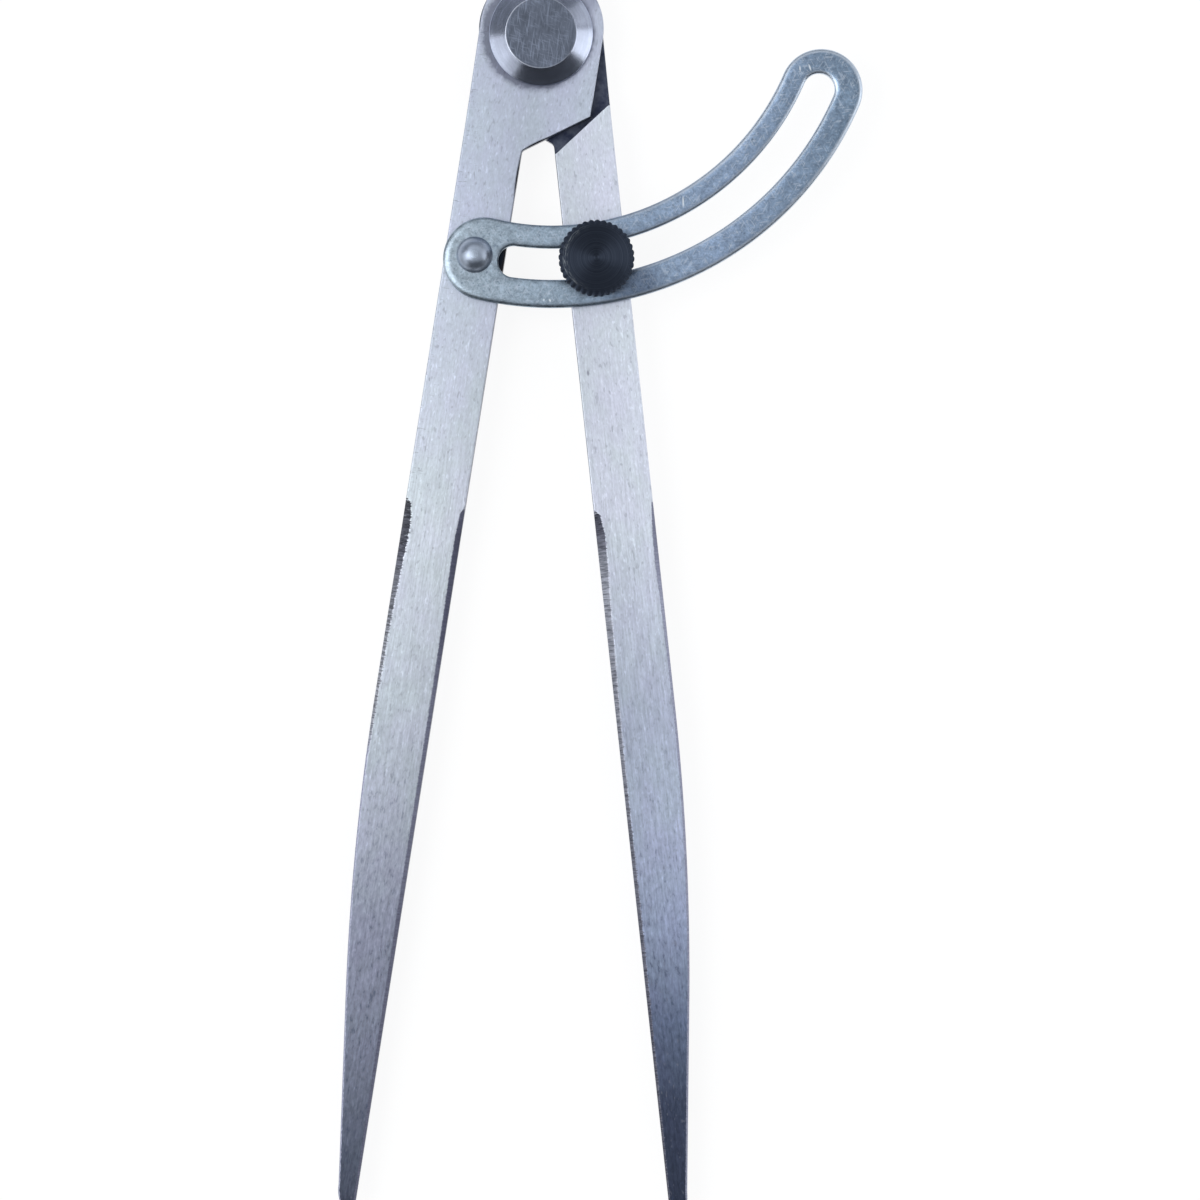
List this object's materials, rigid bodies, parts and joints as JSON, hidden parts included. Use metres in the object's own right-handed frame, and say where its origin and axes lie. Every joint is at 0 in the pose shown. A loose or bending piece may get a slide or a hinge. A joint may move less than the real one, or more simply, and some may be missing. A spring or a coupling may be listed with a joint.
{
  "type": "wing divider",
  "caption": "Steel wing divider lying flat: half-lapped tapering legs on a cone-headed pivot rivet, a slotted quadrant wing and a knurled thumb screw that clamps it.",
  "frame": {"origin": "centre of the pivot rivet's ground rear end, on the pivot's axis, on the flat that the divider rests on", "axes": "+Z along the pivot's axis towards the front (the side with the wing and the thumb screw), -Y along the middle line between the legs towards the tips, +X towards the leg that carries the thumb screw"},
  "size_m": [0.0995, 0.2505, 0.0195],
  "materials": {
    "ground_steel": "bright ground steel with fine lengthwise brush lines",
    "turned_steel": "turned steel, lightly scratched",
    "zinc_plate": "blue-grey zinc plate, finely speckled",
    "black_steel": "black oxide, worn bright along a little of the rim"
  },
  "bodies": {
    "left_leg": {"left_leg": "ground_steel", "pivot_rivet": "turned_steel", "pivot_washer": "turned_steel", "wing_rivet": "turned_steel"},
    "right_leg": {"right_leg": "ground_steel"},
    "wing": {"wing": "zinc_plate"},
    "thumb_screw": {"thumb_screw": "black_steel"}
  },
  "joints": [
    {"name": "leg_opening", "type": "hinge", "parent": "left_leg", "child": "right_leg", "pos_m": [0, 0, 0.0061], "axis": [0, 0, 1], "range_deg": [-15, 79]},
    {"name": "wing_swing", "type": "hinge", "parent": "left_leg", "child": "wing", "pos_m": [-0.01215, -0.04458, 0.0104], "axis": [0, 0, 1], "range_deg": [-2.4, 12.4]},
    {"name": "thumb_screw_turn", "type": "hinge", "parent": "right_leg", "child": "thumb_screw", "pos_m": [0.01221, -0.04498, 0.0117], "axis": [0, 0, 1], "range_deg": [0, 360]}
  ],
  "couplings": [
    {"joint": "wing_swing", "follows": "leg_opening", "ratio": 0.156}
  ]
}
